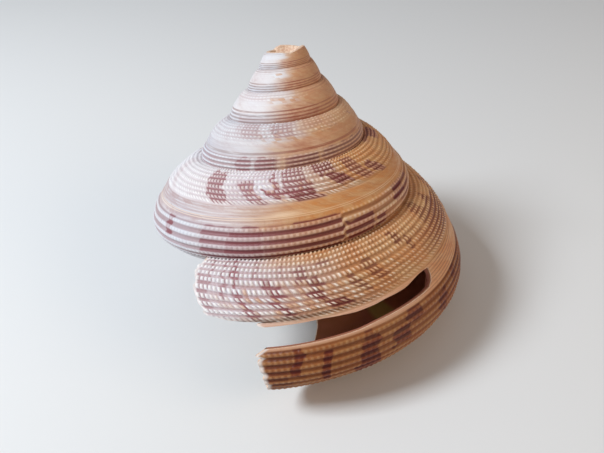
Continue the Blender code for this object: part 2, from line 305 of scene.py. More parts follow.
# Maroon flames: growth time from and to, across from and to, strength
FLAMES = (
    (0.030, 0.044, 0.20, 0.42, 0.45),
    (0.043, 0.047, 0.02, 0.32, 0.55),
    (0.059, 0.063, 0.02, 0.36, 0.60),
    (0.069, 0.074, 0.02, 0.50, 0.85),
    (0.062, 0.069, 0.43, 0.50, 0.80),
    (0.091, 0.096, 0.02, 0.24, 0.55),
    (0.096, 0.106, 0.20, 0.28, 0.85),
    (0.099, 0.112, 0.27, 0.37, 0.95),
    (0.093, 0.102, 0.37, 0.51, 0.90),
    (0.113, 0.119, 0.10, 0.22, 0.45),
    (0.127, 0.139, 0.16, 0.27, 0.70),
    (0.135, 0.150, 0.27, 0.34, 0.80),
    (0.128, 0.140, 0.34, 0.43, 0.95),
    (0.132, 0.150, 0.43, 0.49, 1.00),
    (0.150, 0.165, 0.12, 0.20, 0.50),
    (0.168, 0.176, 0.30, 0.44, 0.60),
    (0.190, 0.202, 0.22, 0.40, 0.60),
    (0.234, 0.243, 0.10, 0.26, 0.75),
    (0.243, 0.254, 0.24, 0.36, 0.70),
    (0.290, 0.306, 0.06, 0.30, 0.65),
    (0.300, 0.318, 0.30, 0.50, 0.80),
    (0.035, 0.054, 0.70, 1.15, 0.45),
    (0.054, 0.064, 0.71, 0.92, 0.85),
    (0.077, 0.086, 0.77, 1.00, 0.95),
    (0.107, 0.125, 0.78, 1.20, 1.00),
    (0.110, 0.122, 0.70, 0.80, 0.55),
    (0.139, 0.156, 0.82, 0.95, 0.90),
    (0.152, 0.170, 0.71, 0.82, 0.75),
    (0.195, 0.210, 0.78, 0.98, 0.70),
    (0.225, 0.238, 0.71, 0.86, 0.70),
    (0.255, 0.280, 0.84, 1.20, 0.90),
    (0.995, 1.026, 0.10, 0.50, 0.60),
    (1.050, 1.072, 0.22, 0.50, 0.55),
    (1.118, 1.150, 0.04, 0.24, 0.55),
    (1.215, 1.240, 0.10, 0.50, 0.60),
    (1.097, 1.106, 0.10, 0.36, 0.65),
    (1.080, 1.106, 0.35, 0.44, 0.80),
    (1.105, 1.142, 0.36, 0.53, 0.90),
    (1.112, 1.150, 0.24, 0.36, 0.60),
    (1.166, 1.196, 0.06, 0.26, 0.75),
    (1.178, 1.204, 0.28, 0.42, 0.85),
    (1.204, 1.236, 0.70, 0.90, 1.00),
    (1.165, 1.182, 0.92, 1.10, 0.85),
    (1.245, 1.262, 0.30, 0.60, 0.80),
    (0.893, 0.905, 0.72, 0.92, 0.90),
    (0.955, 0.986, 0.72, 1.15, 0.65),
    (0.986, 1.028, 0.74, 1.15, 1.00),
    (1.028, 1.117, 0.74, 1.15, 0.75),
    (1.062, 1.108, 0.72, 0.82, 0.90),
    (1.120, 1.160, 0.84, 1.10, 0.90),
    (1.955, 1.985, 0.72, 1.05, 0.70),
    (1.995, 2.035, 0.72, 1.05, 0.95),
    (2.052, 2.112, 0.74, 1.05, 1.00),
    (2.124, 2.260, 0.74, 1.05, 0.85),
    (2.010, 2.060, 0.04, 0.36, 0.35),
    (2.085, 2.135, 0.10, 0.40, 0.45),
    (2.160, 2.215, 0.02, 0.30, 0.35),
    (2.900, 3.150, 0.80, 1.05, 0.40),
)
FLAME_SOFT = (0.0018, 0.018)
# Orange-tan stretches, given in the same way
BLUSH = (
    (0.095, 0.175, 0.00, 0.15, 1.00),
    (0.165, 0.420, 0.00, 0.60, 0.75),
    (0.030, 0.300, 0.68, 1.30, 0.65),
    (0.180, 0.420, 0.50, 1.30, 0.75),
    (1.010, 1.170, 0.52, 0.80, 0.95),
    (1.028, 1.170, 0.78, 1.15, 0.60),
    (1.200, 1.420, 0.00, 0.90, 0.85),
    (1.130, 1.190, 0.50, 0.80, 0.80),
    (2.040, 2.060, 0.55, 1.05, 0.90),
    (2.150, 2.450, 0.00, 1.05, 0.70),
    (3.150, 3.450, 0.00, 1.05, 0.70),
    (4.120, 4.450, 0.00, 1.05, 0.70),
    (5.120, 5.450, 0.00, 1.05, 0.80),
)
BLUSH_SOFT = (0.02, 0.05)

# Rows and columns of the mesh, with extra rows at the crack beside the slit
ROWS_FILLET = 14
ROWS_ABOVE = 70
CRACK_ROWS = (0.5095, 0.511, 0.513, 0.515, 0.517, 0.519)
CRACK_EDGE = 0.547
ROWS_BAND = 9
ROWS_BELOW = 36
ROWS_BASE = 84
COLUMNS_FRONT = 620
COLUMNS_BACK = 470
COLUMNS_SECOND = 620
COLUMNS_TOP = 620
FRONT_PART = 0.5
SECOND_PART = 2.1
SPIRE_ROW_STEP = 3
INNER_STEP = 4
FINE_INNER_TURNS = 1.2
HOLLOW_COLUMNS = 240
ROWS_WHORL_ABOVE = 22
FOOT_COLUMN_STEP = 8
TIP_COLUMNS = 240
# Broken edges: steps over the wall, how far they bulge in millimetres, and the look along in turns
EDGE_STEPS = 6
EDGE_SWELL = 0.22
EDGE_LOOK = 0.002


def curve(knots, values):
    """Smooth curve through the values that runs straight at both ends."""
    knots = np.asarray(knots, dtype=float)
    values = np.asarray(values, dtype=float)
    gaps = np.diff(knots)
    slopes = (np.diff(values, axis=0).T / gaps).T
    count = len(knots)
    system = np.eye(count)
    change = np.zeros_like(values)
    for row in range(1, count - 1):
        system[row, row - 1] = gaps[row - 1]
        system[row, row] = 2.0 * (gaps[row - 1] + gaps[row])
        system[row, row + 1] = gaps[row]
        change[row] = 6.0 * (slopes[row] - slopes[row - 1])
    bend = np.linalg.solve(system, change)

    def read(place):
        place = np.asarray(place, dtype=float)
        span = np.clip(np.searchsorted(knots, place, side="right") - 1, 0, count - 2)
        gap = gaps[span][..., None]
        before = (knots[span + 1] - place)[..., None] / gap
        after = (place - knots[span])[..., None] / gap
        pull = (before ** 3 - before) * bend[span] + (after ** 3 - after) * bend[span + 1]
        return before * values[span] + after * values[span + 1] + pull * gap * gap / 6.0

    return read


GUIDE = curve([row[0] for row in WHORL_GUIDE], np.log([row[1:] for row in WHORL_GUIDE]))
OUTLINE = curve([row[0] for row in SIDE_OUTLINE], [row[1:] for row in SIDE_OUTLINE])


def table(rows, place):
    """Straight-line reading of a table of (place, value) rows."""
    return np.interp(place, [row[0] for row in rows], [row[1] for row in rows])


def foot(turns):
    """Radius and height of the foot of a whorl's side."""
    size = np.exp(GUIDE(turns))
    return np.stack((size[..., 0], -size[..., 1]), axis=-1)


def seam_across(turns):
    """How far across a whorl the next one is joined to it."""
    return SIDE_FOOT + SEAM_DROP * np.exp(-(((turns - 1.0) / SEAM_DROP_TURNS) ** 2))


def on_chord(top, bottom, across, turns):
    """Point of the outline of a side that runs from top to bottom."""
    along, out = np.moveaxis(OUTLINE(across), -1, 0)
    out = np.where(out > 0.0, out * (1.0 - BULGE_LOSS_PER_TURN * (turns - 1.0)), out)
    chord = bottom - top
    across_chord = np.stack((-chord[..., 1], chord[..., 0]), axis=-1)
    return top + chord * along[..., None] + across_chord * out[..., None]


def seam(turns):
    """Radius and height of the seam above a whorl, which lies on the whorl before it."""
    before = turns + 1.0
    return on_chord(foot(before + 1.0), foot(before), seam_across(before), before)


def base_point(turns, share):
    """Point of the base, from the end of the side (share 0) to the columella (share 1)."""
    top = seam(turns)
    bottom = foot(turns)
    start = on_chord(top, bottom, np.full_like(turns, SIDE_END), turns)
    lead = start - on_chord(top, bottom, np.full_like(turns, SIDE_END - NUDGE), turns)
    lead /= np.linalg.norm(lead, axis=-1, keepdims=True)
    radius = bottom[..., :1]
    end = np.concatenate((COLUMELLA_RADIUS * radius, bottom[..., 1:] - COLUMELLA_DEPTH * radius), axis=-1)
    first = start + lead * BASE_PULL_OUTER * radius
    second = end + radius * np.array((BASE_PULL_INNER, -BASE_SAG))
    share = share[..., None]
    rest = 1.0 - share
    return (
        rest ** 3 * start
        + 3.0 * rest ** 2 * share * first
        + 3.0 * rest * share ** 2 * second
        + share ** 3 * end
    )


def outline_point(turns, across):
    """Plain outline of a whorl, without its cords."""
    turns, across = np.broadcast_arrays(turns, across)
    side = on_chord(seam(turns), foot(turns), np.minimum(across, SIDE_END), turns)
    share = np.clip((across - SIDE_END) / (COLUMELLA - SIDE_END), 0.0, 1.0)
    return np.where((across > SIDE_END)[..., None], base_point(turns, share), side)


def outward(turns, across):
    """Unit normal of the outline, pointing out of the shell."""
    ahead = outline_point(turns, np.minimum(across + NUDGE, COLUMELLA))
    behind = outline_point(turns, np.maximum(across - NUDGE, 0.0))
    tangent = ahead - behind
    tangent /= np.linalg.norm(tangent, axis=-1, keepdims=True)
    return np.stack((-tangent[..., 1], tangent[..., 0]), axis=-1)


def around(turns, radius_height):
    """Turn radii and heights into points in the growth frame."""
    angle = TURN * turns
    radius = radius_height[..., 0]
    return np.stack((radius * np.cos(angle), radius * np.sin(angle), radius_height[..., 1]), axis=-1)


def wall(turns):
    """Thickness of the shell."""
    return WALL * (foot(turns)[..., 0] / WHORL_GUIDE[0][1]) ** WALL_GROWTH


def resting_place():
    """Matrix from the growth frame in millimetres to the resting shell in metres."""
    spin = Matrix.Rotation(-TURN * (FRONT_TURNS + 0.25), 4, "Z")
    lean_way = Matrix.Rotation(TURN * LEAN_TURNS, 4, "Z")
    lean = lean_way @ Matrix.Rotation(math.radians(LEAN_DEGREES), 4, "Y") @ lean_way.inverted()
    return Matrix.Scale(METRES, 4) @ Matrix.Translation(TIP_PLACE) @ spin @ lean


PLACE = resting_place()


# Ornament
def smooth(low, high, value):
    """Ease from 0 below low to 1 above high."""
    share = np.clip((value - low) / (high - low), 0.0, 1.0)
    return share * share * (3.0 - 2.0 * share)


def plateau(rise, fall, value):
    """Ease from 0 to 1 over the rise and back to 0 over the fall."""
    return smooth(*rise, value) * (1.0 - smooth(*fall, value))


def soft_edge(place, soft):
    """Range over which the edge of a mark fades."""
    return place - soft, place + soft


def ripple(phase):
    """0 at whole numbers and 1 halfway between them."""
    return 0.5 - 0.5 * np.cos(TURN * phase)


def facing(turns, middle):
    """1 on the side of the shell at the middle, easing to 0 on the opposite side."""
    return 0.5 + 0.5 * np.cos(TURN * (turns - middle))


def scatter(column, row):
    """Fixed scattered number from 0 to 1 for each whole column and row."""
    mixed = np.sin(column * 127.1 + row * 311.7) * 43758.5453
    return mixed - np.floor(mixed)


def drift(x, y):
    """Slow wander between 0 and 1 over the plane of x and y."""
    column = np.floor(x)
    row = np.floor(y)
    right = smooth(0.0, 1.0, x - column)
    up = smooth(0.0, 1.0, y - row)
    low = scatter(column, row) * (1.0 - right) + scatter(column + 1.0, row) * right
    high = scatter(column, row + 1.0) * (1.0 - right) + scatter(column + 1.0, row + 1.0) * right
    return low * (1.0 - up) + high * up


def growth_lag(across):
    """Turns that a growth line falls back from the seam down a side."""
    ramp = GROWTH_PULL * np.maximum(np.minimum(across, SLIT_TOP) - GROWTH_FROM, 0.0) ** 2
    step = smooth(SLIT_TOP, SLIT_FOOT, across)
    lag = ramp * (1.0 - step) + GROWTH_LAG_BELOW * step
    return lag * (1.0 - smooth(1.2, 2.1, across))


def bead_count_table():
    """Turns and the count of beads up to each, so that beads keep one size."""
    turns = np.linspace(-0.2, 9.0, 4000)
    radius = foot(np.maximum(turns, 0.0))[:, 0] * BEAD_RADIUS_SHARE
    step = np.diff(turns) * TURN * (radius[1:] + radius[:-1]) / 2.0 / BEAD_PITCH
    return turns, np.concatenate(([0.0], np.cumsum(step)))


BEAD_TABLE = bead_count_table()


def cord_number(turns, across, jumble):
    """Place among the cords: whole in each groove and halfway on each crest."""
    band_top = table(BAND_TOP_EDGE, turns)
    up = (band_top - across) / band_top
    sway = CORD_SWAY * (drift(turns * 26.0, across * 4.0) - 0.5) * smooth(0.03, 0.1, across)
    above = table(CORDS_ABOVE, turns) * table(CORD_SPACING, up) + JUMBLED_CORDS * jumble + sway
    below = table(CORDS_BELOW, turns) * (across - BAND_FOOT) / (CORDS_END - BAND_FOOT)
    check = smooth(*soft_edge(GROWTH_CHECK, CHECK_WIDTH), turns) * (turns < CHECK_LAST)
    below = below + CHECK_JUMP * check + 0.6 * sway * smooth(BAND_FOOT, BAND_FOOT + 0.06, across)
    on_base = table(CORDS_BELOW, turns) + BASE_CORDS_PER_ACROSS * (across - CORDS_END)
    below = np.where(across > CORDS_END, on_base, below)
    return np.where(across < BAND_MIDDLE, above, below)


def bead_number(grown, across, cord, jumble):
    """Place along the beads: whole in each gap and halfway on each bead."""
    wander = drift(grown * 55.0, across * 12.0) - 0.5
    bead = np.interp(grown, *BEAD_TABLE) + JUMBLED_BEADS * wander * jumble
    stagger = np.where(across < BAND_MIDDLE, scatter(np.floor(cord), 3.0), 0.0)
    return bead + ROW_STAGGER * stagger * smooth(0.2, 0.3, across)


def wear(turns, across):
    """How worn the surface is, from 0 to 1."""
    late = RAMP_WEARS_LATER * (1.0 - smooth(0.34, 0.44, across))
    late = late + FOOT_WEARS_LATER * smooth(0.7, 0.76, across)
    return smooth(*WORN_TURNS, turns - late)


def warm_shaded_side(turns, across):
    """1 on the warm brown side of the shell, whose brown is partly painted shade, easing to 0 on the pale,
    lit one.
    """
    on_ramp = 1.0 - smooth(0.42, 0.52, across)
    return facing(turns, WARM_SHADED_TURNS + (0.03 + 0.02 * smooth(0.9, 1.05, turns)) * on_ramp)


def marked(marks, soft, grown, across):
    """Strength of the marks, from 0 to 1, with soft edges."""
    along_soft, down_soft = soft
    strength = np.zeros_like(grown)
    for start, end, top, low, full in marks:
        along = plateau(soft_edge(start, along_soft), soft_edge(end, along_soft), grown)
        down = plateau(soft_edge(top, down_soft), soft_edge(low, down_soft), across)
        strength = np.maximum(strength, full * along * down)
    return strength


def markings(turns, across, grown, facts):
    """Maroon flames, tan stretches with painted warm shade, and white that is partly chalk and partly
    painted light, each from 0 to 1.
    """
    place = (turns + 0.12) % 1.0
    behind = 1.0 - 0.8 * smooth(0.9, 1.0, place) - 0.8 * (1.0 - smooth(0.36, 0.46, place))
    cloud = drift(grown * 22.0, across * 2.5) * 0.6 + drift(grown * 60.0, across * 6.0) * 0.4
    scattered = smooth(0.52, 0.62, cloud) * (1.0 - 0.4 * (across > BAND_FOOT))
    scattered = scattered * (1.0 - 0.75 * facts["worn"]) * np.clip(behind, 0.25, 1.0)
    ragged_grown = grown + 0.008 * (drift(grown * 90.0, across * 22.0) - 0.5)
    ragged_across = across + 0.06 * (drift(grown * 110.0 + 3.0, across * 9.0) - 0.5)
    flames = np.maximum(marked(FLAMES, FLAME_SOFT, ragged_grown, ragged_across), 0.85 * scattered)
    warm = warm_shaded_side(turns, across)
    # The tan stretches are the shell's own colour; the warm side's share is painted warm shade.
    blush = np.maximum(marked(BLUSH, BLUSH_SOFT, grown, across), 0.45 * warm)
    # Whiter on the pale side: partly chalky colour of its own, partly painted light
    chalk = (1.0 - smooth(0.3, 0.66, warm)) * (0.75 + 0.25 * drift(grown * 12.0 + 5.0, across * 3.0))
    chalk = chalk * (1.0 - 0.8 * smooth(BAND_TOP, BAND_FOOT, across) * (turns < 0.3))
    return {"maroon": flames, "blush": blush, "chalk": chalk}


def cord_relief(across, band_top, uneven, facts):
    """Height of the beaded cords and of the base."""
    crest = ripple(facts["cord"])
    knob = ripple(facts["bead"])
    worn = facts["worn"]
    ramp = crest ** 0.8 * (UPPER_CORD_HEIGHT + UPPER_BEAD_HEIGHT * knob ** 0.8 * uneven)
    ramp = ramp * (1.0 - 0.8 * worn) * (1.0 - 0.3 * facts["calm"]) * (1.0 - 0.5 * facts["frost"])
    ramp = ramp * (1.0 - 0.5 * smooth(band_top - 0.06, band_top - 0.02, across))
    lower = crest ** 0.7 * (LOWER_CORD_HEIGHT + LOWER_BEAD_HEIGHT * knob * uneven)
    lower = lower * (1.0 - 0.55 * worn) * smooth(BAND_FOOT - 0.01, BAND_FOOT + 0.02, across)
    on_base = smooth(SIDE_END - 0.12, SIDE_END + 0.05, across)
    lower = lower * (1.0 - 0.45 * on_base) - BASE_DROP * on_base
    return np.where(across < BAND_MIDDLE, ramp, lower), on_base


def band_relief(turns, across):
    """Height of the slit band, with its threads and its furrows behind the slit."""
    relief = BAND_HEIGHT + FINE_THREAD_HEIGHT * ripple(across * FINE_THREADS_PER_ACROSS)
    for place in BAND_THREADS:
        thread = THREAD_HEIGHT * np.exp(-(((across - place) / THREAD_WIDTH) ** 2))
        relief = relief + thread * smooth(0.4, 0.9, turns)
    return relief + FURROW_HEIGHT * ripple(across * FURROWS_PER_ACROSS) * plateau(*FURROW_TURNS, turns)


def ornament(turns, across):
    """Relief in millimetres at each place, and the facts that the finishes read."""
    grown = turns - growth_lag(across)
    wander = drift(grown * 30.0, across * 6.0) - 0.5
    jumble = plateau(*JUMBLE_ACROSS, across) * plateau(*JUMBLE_ALONG, grown - np.floor(grown))
    cord = cord_number(turns, across, wander * jumble)
    bead = bead_number(grown, across, cord, jumble)
    facts = {"grown": grown, "cord": cord, "bead": bead, "jumble": jumble}
    facts["worn"] = wear(turns, across)
    # Calm: the warm, shaded side, where the relief and the painted highlights are softer.
    facts["calm"] = smooth(0.62, 0.9, warm_shaded_side(turns, across))
    # Side with painted cool light, where the grooves are paler and the relief lower
    facts["frost"] = smooth(0.7, 0.97, facing(turns, COOL_LIT_TURNS)) * (turns > 0.7)
    # Pale strip along the mouth's edge, where a painted glint goes
    facts["rim"] = 1.0 - smooth(0.001, 0.004, turns - table(LIP, across))
    facts.update(markings(turns, across, grown, facts))
    band_top = table(BAND_TOP_EDGE, turns)
    band_foot = (BAND_FOOT - 0.015, BAND_FOOT + 0.01)
    facts["band"] = smooth(band_top - 0.02, band_top + 0.01, across) * (1.0 - smooth(*band_foot, across))
    in_band = smooth(band_top - 0.01, band_top + 0.01, across)
    in_band = in_band * (1.0 - smooth(BAND_FOOT - 0.01, BAND_FOOT + 0.01, across))
    cell = scatter(np.floor(bead), np.floor(cord))
    uneven = 0.72 + (0.45 + 0.3 * jumble) * (cell - 0.3) + 0.3 * wander
    cords, on_base = cord_relief(across, band_top, uneven, facts)
    size = np.minimum(RELIEF_GROWTH * foot(turns)[..., 0] / WHORL_GUIDE[0][1], 1.0)
    relief = (cords * (1.0 - in_band) + band_relief(turns, across) * in_band) * size
    relief = relief + WANDER_HEIGHT * wander * (1.0 - on_base) * (1.0 - facts["worn"])
    return np.minimum(relief * smooth(0.0, 0.03, across), HIGHEST_RELIEF), facts


# Mesh
def grid_faces(rows, columns):
    """Quads of a grid of rows by columns, as corner numbers."""
    corner = np.arange(rows * columns).reshape(rows, columns)
    corners = (corner[:-1, :-1], corner[1:, :-1], corner[1:, 1:], corner[:-1, 1:])
    return np.stack(corners, axis=-1).reshape(-1, 4)


def grid_normals(points):
    """Smooth normals of a grid of points."""
    along = np.gradient(points, axis=1)
    down = np.gradient(points, axis=0)
    normal = np.cross(down, along)
    length = np.linalg.norm(normal, axis=-1, keepdims=True)
    return normal / np.maximum(length, 1e-9)


def shell_piece(name, points, faces, normals, facts, finish):
    """Mesh object of the resting shell, with its facts kept on its points."""
    place = np.array(PLACE)
    turn = place[:3, :3] / METRES
    flat = points.reshape(-1, 3) @ place[:3, :3].T + place[:3, 3]
    mesh = bpy.data.meshes.new(name)
    used = np.unique(faces)
    number = np.full(len(flat), -1)
    number[used] = np.arange(len(used))
    mesh.vertices.add(len(used))
    mesh.vertices.foreach_set("co", flat[used].ravel())
    corners = number[faces]
    mesh.loops.add(corners.size)
    mesh.loops.foreach_set("vertex_index", corners.ravel())
    mesh.polygons.add(len(corners))
    mesh.polygons.foreach_set("loop_start", np.arange(len(corners)) * corners.shape[1])
    mesh.polygons.foreach_set("loop_total", np.full(len(corners), corners.shape[1]))
    mesh.update(calc_edges=True)
    mesh.validate()
    mesh.shade_smooth()
    mesh.normals_split_custom_set_from_vertices((normals.reshape(-1, 3)[used] @ turn.T).tolist())
    for fact, values in facts.items():
        layer = mesh.attributes.new(fact, "FLOAT", "POINT")
        layer.data.foreach_set("value", values.ravel()[used].astype(np.float32))
    mesh.materials.append(finish)
    piece = bpy.data.objects.new(name, mesh)
    bpy.context.collection.objects.link(piece)
    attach(piece, "root")
    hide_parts("shell")
    return piece


def side_across(turns):
    """Places across of every mesh row on a side, at the given turns."""
    open_slit = 1.0 - smooth(*SLIT_EDGE_FADE, turns)
    top = SLIT_TOP + (table(SLIT_TOP_EDGE, turns) - SLIT_TOP) * open_slit
    low = SLIT_FOOT + (table(SLIT_FOOT_EDGE, turns) - SLIT_FOOT) * open_slit
    end = seam_across(turns)
    plain = np.linspace(0.0, 1.0, ROWS_ABOVE + 1 - len(CRACK_ROWS))
    shares = np.sort(np.append(plain, np.array(CRACK_ROWS) / CRACK_EDGE))
    rows = [top * share for share in shares]
    rows += [top + (low - top) * share for share in np.linspace(0.0, 1.0, ROWS_BAND + 1)[1:]]
    rows += [low + (end - low) * share for share in np.linspace(0.0, 1.0, ROWS_BELOW + 1)[1:]]
    return np.array(rows)


def base_across(turns):
    """Places across of every mesh row on the base, at the given turns."""
    end = seam_across(turns)
    return np.array([end + (COLUMELLA - end) * share for share in np.linspace(0.0, 1.0, ROWS_BASE + 1)])


def lip_shaped(turns, across):
    """Turns of the mesh's columns, bent to follow the mouth's edge and the slit's end."""
    fade = np.clip((SLIT_END - turns) / (SLIT_END - LIP_START), 0.0, 1.0)
    lip = table(LIP, across) - LIP_START
    near_end = np.clip(1.0 - np.abs(turns - SLIT_END) / SLIT_END_REACH, 0.0, 1.0)
    return turns + lip * fade + table(SLIT_END_EDGE, across) * near_end


def outer_points(turns, across):
    """Points and growth facts of the outside."""
    shaped = lip_shaped(turns, across)
    relief, facts = ornament(shaped, across)
    outline = outline_point(shaped, across) + outward(shaped, across) * relief[..., None]
    return around(shaped, outline), {"turns": shaped, "across": across, **facts}


def outer_grid(turns, across):
    """Points, normals and growth facts of the outside over a grid."""
    points, facts = outer_points(turns, across)
    return points, grid_normals(points), facts


def inner_points(turns, across):
    """Points and growth facts of the inside of a whorl's own wall."""
    shaped = lip_shaped(turns, across)
    outline = outline_point(shaped, across) - outward(shaped, across) * wall(shaped)[..., None]
    return around(shaped, outline), {"turns": shaped, "across": across}


def cut(grid, columns):
    """Some of the columns of a grid."""
    points, normals, facts = grid
    facts = {fact: values[:, columns] for fact, values in facts.items()}
    return points[:, columns], normals[:, columns], facts


def add_grid(name, grid, finish, keep=None, flip=False):
    """Piece made of one grid; keep is true for each quad that is made."""
    points, normals, facts = grid
    faces = grid_faces(*points.shape[:2])
    if keep is not None:
        faces = faces[keep.ravel()]
    if flip:
        faces = faces[:, ::-1]
    return shell_piece(name, points, faces, normals, facts, finish)


def rounded_edge(name, outside, inside, away, finish, shaded):
    """Broken edge of the wall: a rounded strip from a row of outside points to the inside ones."""
    shares = np.linspace(0.0, 1.0, EDGE_STEPS + 1)
    rows = []
    for share in shares:
        swell = EDGE_SWELL * math.sin(math.pi * share)
        rows.append(outside * (1.0 - share) + inside * share + away * swell)
    points = np.array(rows)
    # How far across the edge, kept only on the edges that get painted shade
    facts = {"deep": shares[:, None] * np.full(len(outside), float(shaded))}
    normals = grid_normals(points)
    faces = grid_faces(*points.shape[:2])
    if np.sum(normals[EDGE_STEPS // 2] * away) < 0.0:
        normals = -normals
        faces = faces[:, ::-1]
    return shell_piece(name, points, faces, normals, facts, finish)


def towards(ahead, behind):
    """Unit steps from the points behind to the points ahead."""
    step = ahead - behind
    return step / np.maximum(np.linalg.norm(step, axis=-1, keepdims=True), 1e-9)


# Finishes
# Numbers of a Mix node's sockets when it mixes colours
MIX_SHARE = 0
MIX_FIRST = 6
MIX_SECOND = 7
MIX_COLOUR = 2


class Tone:
    """A number or colour that varies over a surface; Python's operators on it add Math nodes."""

    def __init__(self, finish, socket):
        self.finish = finish
        self.socket = socket

    def __add__(self, other):
        return self.finish.maths("ADD", self, other)

    def __sub__(self, other):
        return self.finish.maths("SUBTRACT", self, other)

    def __rsub__(self, other):
        return self.finish.maths("SUBTRACT", other, self)

    def __mul__(self, other):
        return self.finish.maths("MULTIPLY", self, other)

    __radd__ = __add__
    __rmul__ = __mul__

    def wave(self):
        """0 at whole numbers and 1 halfway between them."""
        return 0.5 - 0.5 * self.finish.maths("COSINE", self * TURN)

    def whole(self):
        """The whole number below."""
        return self.finish.maths("FLOOR", self)

    def most(self, other):
        """The larger of the two."""
        return self.finish.maths("MAXIMUM", self, other)

    def rise(self, low, high):
        """Ease from 0 at low to 1 at high."""
        settings = {"interpolation_type": "SMOOTHSTEP"}
        values = {"Value": self, "From Min": low, "From Max": high}
        return self.finish.add("ShaderNodeMapRange", settings, values, "Result")

    def hump(self, middle, reach):
        """1 at the middle, easing to 0 at its reach on both sides."""
        return self.finish.maths("ABSOLUTE", self - middle).rise(reach, 0.0)


class Finish:
    """One material and the nodes that make it."""

    def __init__(self, name):
        self.material = bpy.data.materials.new(name)
        self.material.use_nodes = True
        self.tree = self.material.node_tree
        self.tree.nodes.clear()

    def add(self, kind, settings=None, values=None, output=0):
        """Node with its settings, then its sockets' values or links; returns one of its outputs."""
        node = self.tree.nodes.new(kind)
        for name, value in (settings or {}).items():
            setattr(node, name, value)
        for name, value in (values or {}).items():
            if isinstance(value, Tone):
                self.tree.links.new(value.socket, node.inputs[name])
            else:
                node.inputs[name].default_value = value
        return Tone(self, node.outputs[output]) if len(node.outputs) else None

    def maths(self, operation, *values):
        """Math node on numbers and tones."""
        return self.add("ShaderNodeMath", {"operation": operation}, dict(enumerate(values)))

    def fact(self, name):
        """A number kept on the mesh's points."""
        return self.add("ShaderNodeAttribute", {"attribute_name": name}, None, "Fac")

    def noise(self, vector, scale, detail, roughness):
        """Cloudy number about 0.5."""
        values = {"Vector": vector, "Scale": scale, "Detail": detail, "Roughness": roughness}
        return self.add("ShaderNodeTexNoise", None, values, "Fac")

    def mottle(self, along, down, layer, detail, roughness):
        """Cloudy number over the shell's own turns and across; each layer is another pattern."""
        place = self.add("ShaderNodeCombineXYZ", None, {"X": along, "Y": down, "Z": layer})
        return self.noise(place, 1.0, detail, roughness)

    def mix(self, share, first, second, blend="MIX"):
        """Colour from first to second as share goes from 0 to 1."""
        settings = {"data_type": "RGBA", "blend_type": blend}
        values = {MIX_SHARE: share}
        for socket, colour in ((MIX_FIRST, first), (MIX_SECOND, second)):
            values[socket] = colour if isinstance(colour, Tone) else (*colour, 1.0)
        return self.add("ShaderNodeMix", settings, values, MIX_COLOUR)

    def surface(self, colour, roughness, bump=None, bump_height=0.0, gloss=0.5):
        """Material from its colour, roughness, fine bump and strength of reflection."""
        values = {"Base Color": colour, "Roughness": roughness, "Specular IOR Level": gloss}
        if bump is not None:
            heights = {"Height": bump, "Distance": bump_height, "Strength": 1.0}
            values["Normal"] = self.add("ShaderNodeBump", None, heights)
        shader = self.add("ShaderNodeBsdfPrincipled", None, values)
        self.add("ShaderNodeOutputMaterial", None, {"Surface": shader})
        return self.material


PEACH = (0.66, 0.41, 0.28)
CREAM = (0.84, 0.66, 0.50)
# White of the pale side, partly painted light
CHALK_AND_LIGHT_WHITE = (0.80, 0.80, 0.83)
# Painted highlight on the bead tips and along the mouth's edge
PAINTED_HIGHLIGHT_WHITE = (0.93, 0.87, 0.82)
WORN_PINK = (0.80, 0.62, 0.56)
FADED_PINK = (0.56, 0.34, 0.29)
MARGIN_PINK = (0.74, 0.47, 0.36)
LINE_GREY = (0.40, 0.31, 0.30)
BAND_GLOW = (0.86, 0.70, 0.56)
# Tint of the tan stretches and of the painted warm shade
WARM_SIDE = (1.0, 0.84, 0.64)
# Lower lobe: its own darker brown and painted shade under the whorl
SHADED_LOWER_LOBE = (0.54, 0.38, 0.24)
ORANGE_TAN = (0.62, 0.30, 0.12)
GOLD_TAN = (0.62, 0.39, 0.18)
SAND_TAN = (0.68, 0.46, 0.27)
BROWN_TAN = (0.33, 0.13, 0.055)
MAROON = (0.15, 0.022, 0.020)
MAUVE = (0.40, 0.22, 0.23)
MAUVE_GREY = (0.50, 0.43, 0.47)
PALE_MAUVE = (0.60, 0.47, 0.50)
MAUVE_MAROON = (0.30, 0.09, 0.10)
STAINED_PINK = (0.56, 0.33, 0.33)
# Painted cool light
PAINTED_COOL_LIGHT = (0.85, 0.89, 0.93)
PALE_BAND = (0.66, 0.65, 0.69)
RED_BROWN = (0.36, 0.09, 0.036)
# Painted shade of the inside
SHADED_INSIDE = (0.40, 0.13, 0.08)
NACRE = (0.62, 0.50, 0.38)
NACRE_GREEN = (0.50, 0.42, 0.13)


